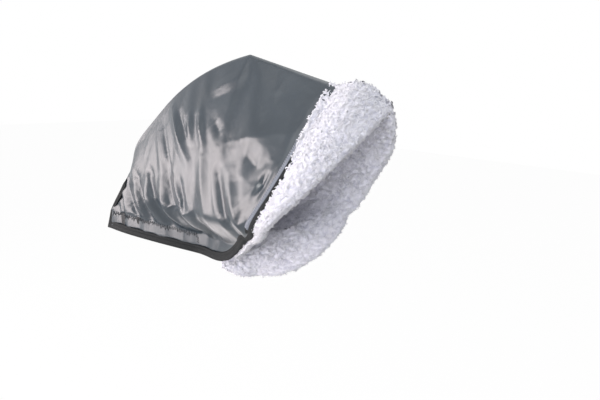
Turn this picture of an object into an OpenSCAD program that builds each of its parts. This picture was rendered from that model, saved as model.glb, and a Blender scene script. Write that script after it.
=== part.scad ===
// Hand warmer muff for the handle of a wheeled walker.
// A tent of coated cloth with a fleece lining hangs over the handle. It is sewn shut along the crown,
// closes under the handle with hook and loop tape round the handle post, and opens to the rear for the hand.
// +X runs back to the mouth, +Z is up, and the origin is on the post's axis at the lower edge of the tape.

/* [Side outline] */
// Height of the peak
peak_h = 217; // [200:1:240]
// Distance from the post axis back to the peak
peak_x = 147; // [130:1:165]
// Height of the point that pulls the front seam into its curve
pull_h = 184; // [170:1:198]
// Distance from the post axis back to the pulling point
pull_x = 14; // [0:1:40]
// Height of the shell's rear end on the ridge
ridge_end_h = 193; // [180:1:198]
// Distance from the post axis back to the shell's rear end on the ridge
ridge_end_x = 251; // [230:1:275]
// Height of the top of the front slit
slit_h = 68; // [62:1:80]
// Distance from the post axis forward to the top of the front slit
slit_x = 24; // [18:1:34]
// Distance from the post axis forward to the hem's front corner
hem_front = 66; // [60:1:80]
// Distance from the post axis back to the hem's rear corner
hem_rear = 160; // [145:1:175]
// Radius of the curve that turns the hem up into the mouth edge
corner_r = 75; // [70:1:90]
// Length of the hem that curves up
corner_run = 50; // [40:1:52]
// Height of the line where the lower flaps bend
fold_h = 55; // [45:1:60]
// Distance by which the mouth edge bows to the rear
mouth_bow = 24; // [0:1:30]
// Distance by which the flaps' rear edges bow to the rear
edge_bow = 3; // [0:1:8]
// Distance by which the front edge leans back over the tapes' height
front_lean = 6.5; // [0:0.5:9]
// Distance by which the front seam's corner stands forward of the seam's curve
seam_corner = 10; // [0:1:14]

/* [Width] */
// Half width of the front edge at the fold line
front_half_w = 10; // [9:0.5:16]
// Half width of the mouth at the fold line
mouth_half_w = 70; // [60:1:85]
// Half width between the hem's rear corners
corner_half_w = 28; // [22:1:36]
// Height over the fold line where the mouth starts to narrow toward the hem
mouth_draw = 40; // [0:1:60]
// Roundness of the walls under the crown, where 1 is a full arch
wall_round = 0.9; // [0.7:0.05:1.1]

/* [Cloth] */
// Thickness of the shell cloth, measured across the muff
shell_t = 1.6; // [1:0.1:2.5]
// Thickness of the fleece lining, measured across the muff
lining_t = 10; // [6:0.5:11]
// Thickness of the lining at the front edge, where it is trimmed thin
front_lining_t = 5; // [3:0.5:6]
// Width of the binding tape
binding_w = 9; // [6:0.5:12]
// Thickness of the binding tape
binding_t = 1.2; // [0.8:0.1:1.6]
// Height of the band sewn flat along the crown seam
seam_h = 5; // [3:0.5:8]

/* [Cuff] */
// Width of the turned-back cuff at the ridge
cuff_top_w = 58; // [45:1:70]
// Width of the left cuff from the fold line down
left_cuff_w = 7; // [5:1:20]
// Width of the right cuff from the fold line down
right_cuff_w = 28; // [20:1:36]
// Angle by which the cuffs fan down round the hem's rear corner
cuff_droop = 105; // [60:5:115]
// Height by which the cuff's pile stands proud of the shell at the ridge
cuff_puff = 10; // [4:1:12]

/* [Closure] */
// Diameter of the handle post
post_d = 22; // [18:0.5:28]
// Height of the hook and loop tapes
tape_h = 18; // [15:1:22]
// Distance from the post axis back to the tapes' rear ends
tape_rear = 90; // [60:1:110]
// Thickness of each tape
tape_t = 2.2; // [1.5:0.1:3]
// Depth of the hem below the tapes
hem_drop = 5; // [3:0.5:8]
// Gap between the closed tapes
closure_gap = 0.3; // [0.3:0.1:0.6]
// Radius with which the tapes leave the post
post_fillet = 90; // [60:1:100]
// Room between the lining and the post
post_room = 1; // [0.5:0.1:1.5]
// Gap between a flap and the wall above it
fold_gap = 0.6; // [0.4:0.1:1]

/* [Stitching] */
// Thickness of the sewing thread
thread_d = 0.8; // [0.5:0.1:1.2]
// Length of one zigzag stitch along its seam
stitch_pitch = 4; // [3:0.5:8]
// Width of the zigzag along the tapes
tape_stitch_w = 4; // [3:0.5:6]
// Width of the zigzag along the mouth binding
binding_stitch_w = 4; // [3:0.5:5]
// Depth of the threads in the cloth
thread_bite = 0.3; // [0.2:0.05:0.4]

/* [Hidden] */

SHELL_GREY = "#717a85";
FLEECE_WHITE = "#e6e6ee";
BINDING_GREY = "#3d4448";
TAPE_BLACK = "#24272a";
THREAD_GREY = "#565e66";

// Levels count outward from the face where the two tapes meet
tape_in = 0;
shell_in = tape_t;
shell_out = shell_in + shell_t;
binding_out = shell_out + binding_t;

post_r = post_d/2;
// The tapes start this far inside the post's radius, so that the post's bore cuts a full wall
bore_margin = 0.4;
half_gap = closure_gap/2;
peak = [peak_x, peak_h];
slit_top = [-slit_x, slit_h];
front_pull = [pull_x, pull_h];
ridge_end = [ridge_end_x, ridge_end_h];
ridge_dir = (ridge_end - peak)/norm(ridge_end - peak);
band_end = ridge_end - binding_w*ridge_dir;
peak_s = 0.68;

// The fold line crosses the front edge and the mouth edge at these shares of their height
fold_share_front = (slit_h - fold_h)/(slit_h + hem_drop);
fold_share_mouth = (ridge_end_h - fold_h)/(ridge_end_h + hem_drop);
fold_front_x = mix(-slit_x, -hem_front, fold_share_front);
fold_rear_x = mix(ridge_end_x, hem_rear, fold_share_mouth) + bow(1);
width_slope = (mouth_half_w - front_half_w)/(fold_rear_x - fold_front_x);

function mix(a, b, t) = a + (b - a)*t;
function ease(t) = (1 - cos(180*t))/2;
function flat(list) = [for (row = list) each row];
function left(p, half) = [p.x, -half, p.y];
function bow(row) = mouth_bow*sin(180*fold_share_mouth*row);

// Crown seam: a curve from the slit past a corner up to the peak, then the straight ridge to the binding's front edge
CORNER_S = 0.115;
CORNER_REACH_LOW = 0.07;
CORNER_REACH_HIGH = 0.095;
function corner_shift(s) =
    let (reach = s < CORNER_S ? CORNER_REACH_LOW : CORNER_REACH_HIGH)
    [-seam_corner*exp(-pow((s - CORNER_S)/reach, 2)), 0];
function crown(s) = s < peak_s
    ? let (t = s/peak_s) mix(mix(slit_top, front_pull, t), mix(front_pull, peak, t), t) + corner_shift(s)
    : mix(peak, band_end, (s - peak_s)/(1 - peak_s));
function fold_x(col) = mix(fold_front_x, fold_rear_x - binding_w, col[0]) + col[1];
function hem_x(col) = mix(-hem_front, hem_rear - binding_w, col[0]) + col[1];
function hem_s(x) = (x + hem_front)/(hem_rear - binding_w + hem_front);
function fold_half(x) = front_half_w + (x - fold_front_x)*width_slope;

// Half width of the closed hem at x, on a level: flat, then a fillet, then round the post of radius r
function hem_half(x, level, r = post_r) =
    let (
        centre_y = half_gap + post_fillet,
        centre_x = sqrt(pow(r + post_fillet, 2) - pow(centre_y, 2)),
        touch_x = (r + level)*centre_x/(r + post_fillet),
        a = abs(x)
    )
    a > centre_x ? half_gap + level + flare(x)
    : a > touch_x ? centre_y - sqrt(pow(post_fillet - level, 2) - pow(centre_x - a, 2))
    : sqrt(pow(r + level, 2) - x*x);
function past_tape(x) = max(0, (x - tape_rear)/(hem_rear - tape_rear));
FLARE_POWER = 1.5;
function flare(x) = (corner_half_w - half_gap - shell_out)*pow(past_tape(x), FLARE_POWER);
function hem_z(x) =
    let (past = min(corner_run, max(0, x - (hem_rear - corner_run))))
    -hem_drop + corner_r - sqrt(pow(corner_r, 2) - pow(past, 2));
// The strip along the hem leans back at its front edge and at the rear corner,
// so that the hem's curve runs on into the mouth edge
strip_h = tape_h + hem_drop;
corner_slope = corner_run/sqrt(pow(corner_r, 2) - pow(corner_run, 2));
function before_post(x) = max(0, (-x - post_reach)/(hem_front - post_reach));
function strip_lean(x) = strip_h/corner_slope*ease(min(1, past_tape(x)))
    + front_lean*ease(min(1, before_post(x)));
// Direction of the mouth edge at the corner, downward
corner_dir = -[1, corner_slope]/norm([1, corner_slope]);

// Columns are [share of the way from the front edge to the mouth's band, distance past that line]
post_reach = sqrt(pow(post_r + post_fillet, 2) - pow(half_gap + post_fillet, 2));
front_band_s = hem_s(-hem_front + binding_w);
// Steps along the post's stretch of the hem, closer at the post
POST_STEPS = 14;
POST_POWER = 1.5;
function post_x(i) = let (u = 2*i/POST_STEPS - 1) post_reach*sign(u)*pow(abs(u), POST_POWER);
FRONT_STEPS = 3;
BACK_STEPS = 5;
RIDGE_STEPS = 4;
tape_s = hem_s(tape_rear);
columns = concat(
    [[0, 0]],
    [for (i = [0:FRONT_STEPS - 1]) [mix(front_band_s, hem_s(-post_reach), i/FRONT_STEPS), 0]],
    [for (i = [0:POST_STEPS - 1]) [hem_s(post_x(i)), 0]],
    [for (i = [0:BACK_STEPS - 1]) [mix(hem_s(post_reach), min(peak_s, tape_s), i/BACK_STEPS), 0]],
    [[min(peak_s, tape_s), 0], [max(peak_s, tape_s), 0]],
    [for (i = [1:RIDGE_STEPS]) [mix(max(peak_s, tape_s), 1, i/RIDGE_STEPS), 0]],
    [[1, binding_w]]
);
LAST = len(columns) - 1;
TAPE_LAST = 1 + FRONT_STEPS + POST_STEPS + BACK_STEPS + (tape_s > peak_s ? 1 : 0);
mouth_col = [1, binding_w + binding_t];
lining_columns = concat(columns, [mouth_col]);

// The lining reaches its full thickness at this share of the way back from the front edge
FULL_LINING = 0.3;
function lining_in(col) = shell_in - mix(front_lining_t, lining_t, min(1, col[0]/FULL_LINING));

// Rows of the upper wall are shares of the way from the crown to the fold line, closer near the crown
UPPER_STEPS = 10;
ROW_POWER = 1.5;
seam_share = seam_h/(peak_h - fold_h);
upper_rows = concat([0], [for (i = [0:UPPER_STEPS]) mix(seam_share, 1, pow(i/UPPER_STEPS, ROW_POWER))]);
LINING_ROW = 2;
lining_rows = [for (i = [LINING_ROW:UPPER_STEPS + 1]) upper_rows[i]];
function arch(row) = row <= seam_share ? 0
    : sin(90*pow((row - seam_share)/(1 - seam_share), wall_round));
function upper_side(col, row) =
    mix(crown(col[0]) + col[1]*ridge_dir, [fold_x(col), fold_h + fold_gap/2], row)
    + [(bow(row) - row*bow(1))*pow(col[0], BOW_POWER), 0];
// Share of the way from the wall's own width to the hem's width at a height
BOW_POWER = 3;
function drawn_in(col, z) =
    let (top = fold_h + mouth_draw*pow(col[0], BOW_POWER), low = hem_z(hem_x(col)) + strip_h)
    ease(min(1, max(0, (top - z)/(top - low))));
function upper_half(col, row, level) =
    let (p = upper_side(col, row))
    max(0, mix(level - shell_in + (fold_half(fold_x(col)) - shell_t)*arch(row),
        hem_half(p.x, level), drawn_in(col, p.y)));
function upper_point(col, row, level) = left(upper_side(col, row), upper_half(col, row, level));

// Rows of a flap are [share from the fold line to the tape, share from the tape's top to the hem]
FLAP_STEPS = 5;
hem_share_binding = (strip_h - binding_w)/strip_h;
hem_share_tape = tape_h/strip_h;
flap_rows = concat(
    [for (i = [0:FLAP_STEPS]) [i/FLAP_STEPS, 0]],
    [[1, min(hem_share_binding, hem_share_tape)], [1, max(hem_share_binding, hem_share_tape)], [1, 1]]
);
TAPE_ROW = FLAP_STEPS;
BINDING_ROW = FLAP_STEPS + (hem_share_binding <= hem_share_tape ? 1 : 2);
TAPE_LOW_ROW = FLAP_STEPS + (hem_share_binding <= hem_share_tape ? 2 : 1);
HEM_ROW = FLAP_STEPS + 3;
function strip_side(col, share) =
    let (x = hem_x(col))
    [x + strip_lean(x)*(1 - share), hem_z(x) + strip_h*(1 - share)];
function flap_side(col, row) =
    mix([fold_x(col), fold_h - fold_gap/2], strip_side(col, row[1]), row[0])
    + [edge_bow*sin(180*row[0])*pow(col[0], BOW_POWER), 0];
function flap_half(col, row, level, r = post_r) =
    let (p = flap_side(col, row))
    mix(fold_half(p.x) + level - shell_out, hem_half(p.x, level, r), drawn_in(col, p.y));
function flap_point(col, row, level, r = post_r) = left(flap_side(col, row), flap_half(col, row, level, r));
// The lining's inner face stays clear of the post, which ends under the slit's top, and of the closing plane
function post_half(p) = abs(p.x) < post_r + post_room && p.y < slit_h
    ? sqrt(pow(post_r + post_room, 2) - p.x*p.x) : 0;
function upper_lining_point(col, row) =
    let (p = upper_side(col, row))
    left(p, max(post_half(p), upper_half(col, row, lining_in(col))));
function flap_lining_point(col, row) =
    let (p = flap_side(col, row))
    left(p, max(half_gap, post_half(p), flap_half(col, row, lining_in(col))));

// The cuff goes on from the mouth edge, thins to its rolled rim, and swells at the ridge
CUFF_STEPS = 6;
RIM_START = 0.6;
RIM_THIN = 0.25;
// Share of the fan that lies at the hem's rear corner, and the cuff's widening above it and along the hem
CORNER_FAN = 0.7;
LEFT_WIDEN = 0.4;
RIGHT_WIDEN = 1.4;
HEM_WIDTHS = [1, 0.85, 0.6, 0.3];
function rim_share(u) = u < RIM_START ? 1
    : mix(RIM_THIN, 1, sqrt(1 - pow((u - RIM_START)/(1 - RIM_START), 2)));
function cuff_half(out, in, swell, u, run) =
    let (middle = (out + swell + in)/2, half = (out + swell - in)/2)
    [middle + half*rim_share(u), middle - half*rim_share(u)] + [1, 1]*run*width_slope;
function upper_cuff_point(row, u, low_w, face) =
    let (
        width = mix(cuff_top_w, low_w, row),
        heading = mix(ridge_dir, [1, 0], row),
        swell = cuff_puff*sin(180*u)*(1 - row),
        side = upper_side(mouth_col, row) + u*width*heading + [0, swell*(1 - row)],
        half = cuff_half(upper_half(mouth_col, row, shell_out),
            upper_half(mouth_col, row, lining_in(mouth_col)), swell, u, u*width*row)
    )
    left(side, max(0, half[face]));
// Stations of a lower cuff are [column, row, offset past the edge, heading, width], down the mouth edge,
// and then for some columns forward along the hem
function cuff_stations(low_w, widen, hem_columns) = concat(
    [for (row = flap_rows) [mouth_col, row, [0, 0],
        -cuff_droop*mix(row[0], row[1], CORNER_FAN), low_w*mix(1, widen, row[0])]],
    [for (i = [0:hem_columns]) [i == 0 ? mouth_col : columns[LAST - i], flap_rows[HEM_ROW],
        binding_t*(i == 0 ? corner_dir : [0, -1]), -cuff_droop, low_w*widen*HEM_WIDTHS[i]]]
);
function flap_cuff_point(station, u, face) =
    let (
        run = u*station[4],
        side = flap_side(station[0], station[1]) + station[2] + run*[cos(station[3]), sin(station[3])],
        half = cuff_half(flap_half(station[0], station[1], shell_out),
            flap_half(station[0], station[1], lining_in(station[0])), 0, u, run)
    )
    left(side, max(half_gap, half[face]));

// Closed slab between two grids of points, over the cells that are kept
module slab(outer, inner, keep = function (r, c) true) {
    rows = len(outer) - 1;
    cols = len(outer[0]) - 1;
    n = (rows + 1)*(cols + 1);
    kept = function (r, c) r >= 0 && r < rows && c >= 0 && c < cols && keep(r, c);
    at = function (r, c) r*(cols + 1) + c;
    polyhedron(
        points = concat(flat(outer), flat(inner)),
        faces = [for (r = [0:rows - 1], c = [0:cols - 1]) if (kept(r, c)) each
            let (a = at(r, c), b = at(r, c + 1), d = at(r + 1, c), e = at(r + 1, c + 1))
            concat(
                [[a, b, e], [a, e, d], [n + a, n + e, n + b], [n + a, n + d, n + e]],
                kept(r - 1, c) ? [] : [[b, a, n + a], [b, n + a, n + b]],
                kept(r + 1, c) ? [] : [[d, e, n + e], [d, n + e, n + d]],
                kept(r, c - 1) ? [] : [[a, d, n + d], [a, n + d, n + a]],
                kept(r, c + 1) ? [] : [[e, b, n + b], [e, n + b, n + e]]
            )
        ]
    );
}

// Closed tube through a list of rings with the same number of points, capped by fans from one corner
module tube(rings, fan) {
    k = len(rings[0]);
    last = len(rings) - 1;
    corners = [for (i = [1:k - 2]) [fan, (fan + i)%k, (fan + i + 1)%k]];
    polyhedron(
        points = flat(rings),
        faces = concat(
            [for (i = [0:last - 1], j = [0:k - 1]) each
                let (a = i*k + j, b = i*k + (j + 1)%k) [[b, a, b + k], [b + k, a, a + k]]],
            corners,
            [for (t = corners) last*k*[1, 1, 1] + [t[2], t[1], t[0]]]
        )
    );
}

// One ring of a binding: a strip on the shell with a lip over the shell's cut edge
function binding_ring(inset, edge, lip) = [
    left(inset[0], inset[1]), left(inset[0], inset[2]), left(lip[0], lip[2]),
    left(lip[0], lip[3]), left(edge[0], edge[3]), left(edge[0], edge[1])
];
BINDING_FAN = 5;
function upper_levels(col, row) = [upper_side(col, row),
    upper_half(col, row, shell_out), upper_half(col, row, binding_out), upper_half(col, row, shell_in)];
function flap_levels(col, row) = [flap_side(col, row),
    flap_half(col, row, shell_out), flap_half(col, row, binding_out), flap_half(col, row, shell_in)];
function moved(levels, offset) = [levels[0] + offset, levels[1], levels[2], levels[3]];
function mouth_binding_ring(row) = binding_ring(upper_levels([1, 0], row),
    upper_levels([1, binding_w], row), upper_levels(mouth_col, row));
// A flap's ring whose lip goes past the edge from the column lip_col in the direction lip
function edge_ring(inner_col, inner_row, edge_col, edge_row, lip_col, lip) = binding_ring(
    flap_levels(columns[inner_col], flap_rows[inner_row]),
    flap_levels(columns[edge_col], flap_rows[edge_row]),
    moved(flap_levels(lip_col, flap_rows[edge_row]), binding_t*lip));

// Zigzag thread through a list of points on the cloth
module zigzag(points) {
    last = len(points) - 1;
    tube([for (i = [0:last])
        let (
            p = points[i],
            along = points[min(i + 1, last)] - points[max(i - 1, 0)],
            across = [-along.z, 0, along.x]*thread_d/2/norm([along.x, along.z]),
            raise = [0, thread_d - thread_bite, 0],
            sink = [0, thread_bite, 0]
        )
        [p + across + sink, p + across - raise, p - across - raise, p - across + sink]
    ], 0);
}
function stitch_count(length) = max(4, 2*round(length/stitch_pitch/2));
function swing(i) = i%2 == 0 ? -1 : 1;

// Mirrors a left piece to the right side
module on_right() {
    mirror([0, 1, 0]) children();
}

module shell() {
    color(SHELL_GREY) slab(
        [for (row = upper_rows) [for (col = columns) upper_point(col, row, shell_out)]],
        [for (row = upper_rows) [for (col = columns) upper_point(col, row, shell_in)]]
    );
}

module lining() {
    color(FLEECE_WHITE) slab(
        [for (row = lining_rows) [for (col = lining_columns) upper_point(col, row, shell_in)]],
        [for (row = lining_rows) [for (col = lining_columns) upper_lining_point(col, row)]]
    );
}

module cuff(low_w) {
    shares = [for (i = [0:CUFF_STEPS]) i/CUFF_STEPS];
    color(FLEECE_WHITE) slab(
        [for (row = upper_rows) [for (u = shares) upper_cuff_point(row, u, low_w, 0)]],
        [for (row = upper_rows) [for (u = shares) upper_cuff_point(row, u, low_w, 1)]]
    );
}

module mouth_binding() {
    rising_rows = [for (i = [UPPER_STEPS + 1:-1:0]) upper_rows[i]];
    color(BINDING_GREY) tube([for (row = rising_rows) mouth_binding_ring(row)], BINDING_FAN);
}

module mouth_stitching() {
    edge_length = norm(upper_side([1, 0], 1) - upper_side([1, 0], 0));
    count = stitch_count(edge_length);
    color(THREAD_GREY) zigzag([for (i = [1:count - 1])
        upper_point([1, binding_w/2 + swing(i)*binding_stitch_w/2], i/count, binding_out)]);
}

// Lockstitch thread along the crown, through both shells' sewn bands.
// Near the slit the bands are too narrow for it.
module crown_seam_thread() {
    half = [0, shell_t/2, 0];
    color(THREAD_GREY) tube([for (i = [FRONT_STEPS + 1:LAST])
        let (
            p = upper_side(columns[i], seam_share/2),
            top = left(p + [0, thread_d/2], 0),
            low = left(p - [0, thread_d/2], 0)
        )
        [top + half, top - half, low - half, low + half]
    ], 0);
}

module flap_shell() {
    color(SHELL_GREY) slab(
        [for (row = flap_rows) [for (col = columns) flap_point(col, row, shell_out)]],
        [for (row = flap_rows) [for (col = columns) flap_point(col, row, shell_in)]]
    );
}

module flap_lining() {
    color(FLEECE_WHITE) slab(
        [for (row = flap_rows) [for (col = lining_columns) flap_point(col, row, shell_in)]],
        [for (row = flap_rows) [for (col = lining_columns) flap_lining_point(col, row)]],
        function (r, c) r < TAPE_ROW || c >= TAPE_LAST
    );
}

module flap_cuff(low_w, widen, hem_columns) {
    shares = [for (i = [0:CUFF_STEPS]) i/CUFF_STEPS];
    stations = cuff_stations(low_w, widen, hem_columns);
    color(FLEECE_WHITE) slab(
        [for (station = stations) [for (u = shares) flap_cuff_point(station, u, 0)]],
        [for (station = stations) [for (u = shares) flap_cuff_point(station, u, 1)]]
    );
}

module flap_binding() {
    front_col = columns[0];
    front = [for (r = [0:BINDING_ROW]) edge_ring(1, r, 0, r, front_col, [-1, 0])];
    front_corner = [edge_ring(1, BINDING_ROW, 0, HEM_ROW, front_col, [-1, -1])];
    hem = [for (c = [2:LAST - 1]) edge_ring(c, BINDING_ROW, c, HEM_ROW, columns[c], [0, -1])];
    rear_corner = [edge_ring(LAST - 1, BINDING_ROW, LAST, HEM_ROW, mouth_col, corner_dir)];
    mouth = [for (r = [BINDING_ROW:-1:0]) edge_ring(LAST - 1, r, LAST, r, mouth_col, [0, 0])];
    color(BINDING_GREY) tube(concat(front, front_corner, hem, rear_corner, mouth), BINDING_FAN);
}

// Closure tape, bent round the post and bored to the post's radius
module tape() {
    inner_r = post_r - bore_margin;
    tape_columns = [for (c = [1:TAPE_LAST]) columns[c]];
    tape_rows = [flap_rows[TAPE_ROW], flap_rows[TAPE_LOW_ROW]];
    color(TAPE_BLACK) difference() {
        slab(
            [for (row = tape_rows) [for (col = tape_columns) flap_point(col, row, shell_in)]],
            [for (row = tape_rows) [for (col = tape_columns) flap_point(col, row, tape_in, inner_r)]]
        );
        translate([0, 0, -hem_drop]) cylinder(r = post_r, h = tape_h + 2*hem_drop, $fn = 96);
    }
}

// Zigzag along the tape's top edge, then down its rear end
module tape_stitching() {
    first_x = hem_x(columns[1]) + tape_stitch_w;
    last_x = tape_rear - tape_stitch_w/2;
    count = stitch_count(last_x - first_x);
    drop_count = stitch_count(tape_h - tape_stitch_w);
    low_z = binding_w - hem_drop + tape_stitch_w/2;
    top_z = tape_h - tape_stitch_w/2;
    color(THREAD_GREY) zigzag(concat(
        [for (i = [0:count])
            let (x = mix(first_x, last_x, i/count))
            left([x, top_z + swing(i)*tape_stitch_w/2], hem_half(x, shell_out))],
        [for (i = [1:drop_count - 1])
            let (x = last_x + swing(i)*tape_stitch_w/4)
            left([x, mix(top_z, low_z, i/drop_count)], hem_half(x, shell_out))]
    ));
}

shell();  // left_shell
on_right() shell();  // right_shell
lining();  // left_lining
on_right() lining();  // right_lining
cuff(left_cuff_w);  // left_cuff
on_right() cuff(right_cuff_w);  // right_cuff
mouth_binding();  // left_mouth_binding
on_right() mouth_binding();  // right_mouth_binding
mouth_stitching();  // left_mouth_stitching
on_right() mouth_stitching();  // right_mouth_stitching
crown_seam_thread();
flap_shell();  // left_flap_shell
flap_lining();  // left_flap_lining
flap_cuff(left_cuff_w, LEFT_WIDEN, 0);  // left_flap_cuff
flap_binding();  // left_flap_binding
tape();  // hook_tape
tape_stitching();  // hook_tape_stitching
on_right() flap_shell();  // right_flap_shell
on_right() flap_lining();  // right_flap_lining
on_right() flap_cuff(right_cuff_w, RIGHT_WIDEN, 3);  // right_flap_cuff
on_right() flap_binding();  // right_flap_binding
on_right() tape();  // loop_tape
on_right() tape_stitching();  // loop_tape_stitching
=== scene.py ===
import math

import bpy
import numpy as np
from mathutils import Euler, Matrix


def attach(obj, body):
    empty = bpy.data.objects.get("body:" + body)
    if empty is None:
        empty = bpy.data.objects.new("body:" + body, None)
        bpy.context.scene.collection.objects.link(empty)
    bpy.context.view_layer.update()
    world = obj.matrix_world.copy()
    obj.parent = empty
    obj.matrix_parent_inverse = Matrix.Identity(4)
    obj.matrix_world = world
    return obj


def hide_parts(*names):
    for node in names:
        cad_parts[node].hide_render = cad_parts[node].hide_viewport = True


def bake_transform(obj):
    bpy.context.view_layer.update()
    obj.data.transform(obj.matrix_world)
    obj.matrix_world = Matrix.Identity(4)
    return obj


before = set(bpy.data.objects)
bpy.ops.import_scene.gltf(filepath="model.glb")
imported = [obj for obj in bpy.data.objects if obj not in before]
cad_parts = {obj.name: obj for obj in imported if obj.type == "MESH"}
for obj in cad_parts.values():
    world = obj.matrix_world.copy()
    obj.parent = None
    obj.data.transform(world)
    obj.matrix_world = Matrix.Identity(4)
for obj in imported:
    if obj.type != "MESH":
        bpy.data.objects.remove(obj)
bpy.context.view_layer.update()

MM = 0.001
SIDES = {"left": -1, "right": 1}

# Side outline, as (x, z): x runs back from the clamp's axis to the mouth
PEAK = np.array((147, 217))*MM
FRONT_PULL = np.array((14, 184))*MM
RIDGE_END = np.array((251, 193))*MM
SLIT_TOP = np.array((-24, 68))*MM
HEM_FRONT = 66*MM
HEM_REAR = 160*MM
HEM_DROP = 5*MM
CORNER_R = 75*MM
CORNER_RUN = 50*MM
FOLD_H = 55*MM
MOUTH_BOW = 24*MM
EDGE_BOW = 3*MM
FRONT_LEAN = 6.5*MM
SEAM_CORNER = 10*MM
CORNER_SHARE = 0.115
CORNER_REACH_LOW = 0.07
CORNER_REACH_HIGH = 0.095
PEAK_SHARE = 0.68
BOW_POWER = 3
FLARE_POWER = 1.5

# Half widths
FRONT_HALF = 10*MM
MOUTH_HALF = 70*MM
CORNER_HALF = 28*MM
MOUTH_DRAW = 40*MM
DRAW_LATE = 1.2
DRAW_LATE_FROM = 0.3
DRAW_LATE_FULL = 0.8
WALL_ROUND = 0.9

# Cloth, fleece and trim
SHELL_T = 1.6*MM
NYLON_T = 0.7*MM
LINING_T = 10*MM
FRONT_LINING_T = 5*MM
FULL_LINING = 0.3
BINDING_W = 9*MM
BINDING_T = 1.2*MM
SEAM_H = 5*MM

# Cuff
CUFF_TOP_W = 58*MM
CUFF_LOW_W = {"left": 7*MM, "right": 28*MM}
CUFF_DROOP = math.radians(105)
CUFF_PUFF = 10*MM
CORNER_FAN = 0.7
LOBE_WIDEN = {"left": 0.4, "right": 1.4}
CUFF_DIP = {"left": 0, "right": 6.5*MM}
CUFF_SINK = 3*MM
HEM_WIDTHS = (1, 0.85, 0.6, 0.3)
RIM_START = 0.8
RIM_THIN = 0.8
RIM_ROLL = 4*MM
RIM_END = 0.97

# Closure, with a round clamp in the hem
CLAMP_R = 11*MM
CLAMP_ROOM = 1*MM
CLAMP_FILLET = 90*MM
LENS_FRONT = 60*MM
LENS_REAR = 84*MM
LENS_SOFT = 1.2*MM
HEM_RISE = 3*MM
TAPE_H = 18*MM
TAPE_FRONT = -57*MM
TAPE_REAR = 90*MM
TAPE_T = 2.2*MM
HALF_GAP = 0.15*MM
STRIP_H = TAPE_H + HEM_DROP
CLAMP_REACH = math.sqrt((CLAMP_R + CLAMP_FILLET)**2 - (HALF_GAP + CLAMP_FILLET)**2)

SHELL_IN = TAPE_T
SHELL_OUT = SHELL_IN + SHELL_T


def mix(a, b, t):
    return a + (b - a)*t


def ease(t):
    return (1 - np.cos(np.pi*t))/2


def smooth(low, high, value):
    t = np.clip((value - low)/(high - low), 0, 1)
    return t*t*(3 - 2*t)


RIDGE_DIR = (RIDGE_END - PEAK)/np.linalg.norm(RIDGE_END - PEAK)
BAND_END = RIDGE_END - BINDING_W*RIDGE_DIR
FOLD_SHARE_FRONT = (SLIT_TOP[1] - FOLD_H)/(SLIT_TOP[1] + HEM_DROP)
FOLD_SHARE_MOUTH = (RIDGE_END[1] - FOLD_H)/(RIDGE_END[1] + HEM_DROP)
SEAM_SHARE = SEAM_H/(PEAK[1] - FOLD_H)


def bow(row):
    return MOUTH_BOW*np.sin(np.pi*FOLD_SHARE_MOUTH*row)


FOLD_FRONT_X = mix(SLIT_TOP[0], -HEM_FRONT, FOLD_SHARE_FRONT)
FOLD_REAR_X = mix(RIDGE_END[0], HEM_REAR, FOLD_SHARE_MOUTH) + bow(1)
WIDTH_SLOPE = (MOUTH_HALF - FRONT_HALF)/(FOLD_REAR_X - FOLD_FRONT_X)
MOUTH_Q = 1 + BINDING_W
LIP_Q = MOUTH_Q + BINDING_T


def hem_q(x):
    return (x + HEM_FRONT)/(HEM_REAR - BINDING_W + HEM_FRONT)


TAPE_Q = hem_q(TAPE_REAR)
# The binding's inner line along the hem and the front edge
BAND_T = 3 - BINDING_W/STRIP_H
BAND_Q = hem_q(-HEM_FRONT + BINDING_W)
# The row of the zigzag along the tape's top
PUCKER_ROW = 2.08


def crown(share, past):
    """Crown seam: a curve from the slit past a corner up to the peak, then the straight ridge."""
    t = np.minimum(share/PEAK_SHARE, 1)[..., None]
    curve = mix(mix(SLIT_TOP, FRONT_PULL, t), mix(FRONT_PULL, PEAK, t), t)
    reach = np.where(share < CORNER_SHARE, CORNER_REACH_LOW, CORNER_REACH_HIGH)
    curve[..., 0] -= SEAM_CORNER*np.exp(-((share - CORNER_SHARE)/reach)**2)
    ridge = np.maximum((share - PEAK_SHARE)/(1 - PEAK_SHARE), 0)[..., None]
    return curve + ridge*(BAND_END - PEAK) + past[..., None]*RIDGE_DIR


def lens(x):
    """Half width by which the cloth spans the clamp, as a long soft lens."""
    rise = CLAMP_R*(1 - (x/np.where(x < 0, LENS_FRONT, LENS_REAR))**2)
    return (rise + np.sqrt(rise**2 + LENS_SOFT**2))/2


def hem_half(x, level):
    """Half width of the closed hem: shut at the tapes' ends, round the clamp, flared at the rear."""
    flare = np.maximum((x - TAPE_REAR)/(HEM_REAR - TAPE_REAR), 0)**FLARE_POWER
    return HALF_GAP + level + lens(x) + (CORNER_HALF - HALF_GAP - SHELL_OUT)*flare


def hem_z(x):
    past = np.clip(x - (HEM_REAR - CORNER_RUN), 0, CORNER_RUN)
    return HEM_RISE*lens(x)/CLAMP_R - HEM_DROP + CORNER_R - np.sqrt(CORNER_R**2 - past**2)


def strip_lean(x):
    """Distance of the strip's top behind the hem, so that the hem's arc runs on up the mouth."""
    slope = CORNER_RUN/math.sqrt(CORNER_R**2 - CORNER_RUN**2)
    rear = ease(np.clip((x - TAPE_REAR)/(HEM_REAR - TAPE_REAR), 0, 1))
    front = ease(np.clip((-x - CLAMP_REACH)/(HEM_FRONT - CLAMP_REACH), 0, 1))
    return STRIP_H/slope*rear + FRONT_LEAN*front


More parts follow.
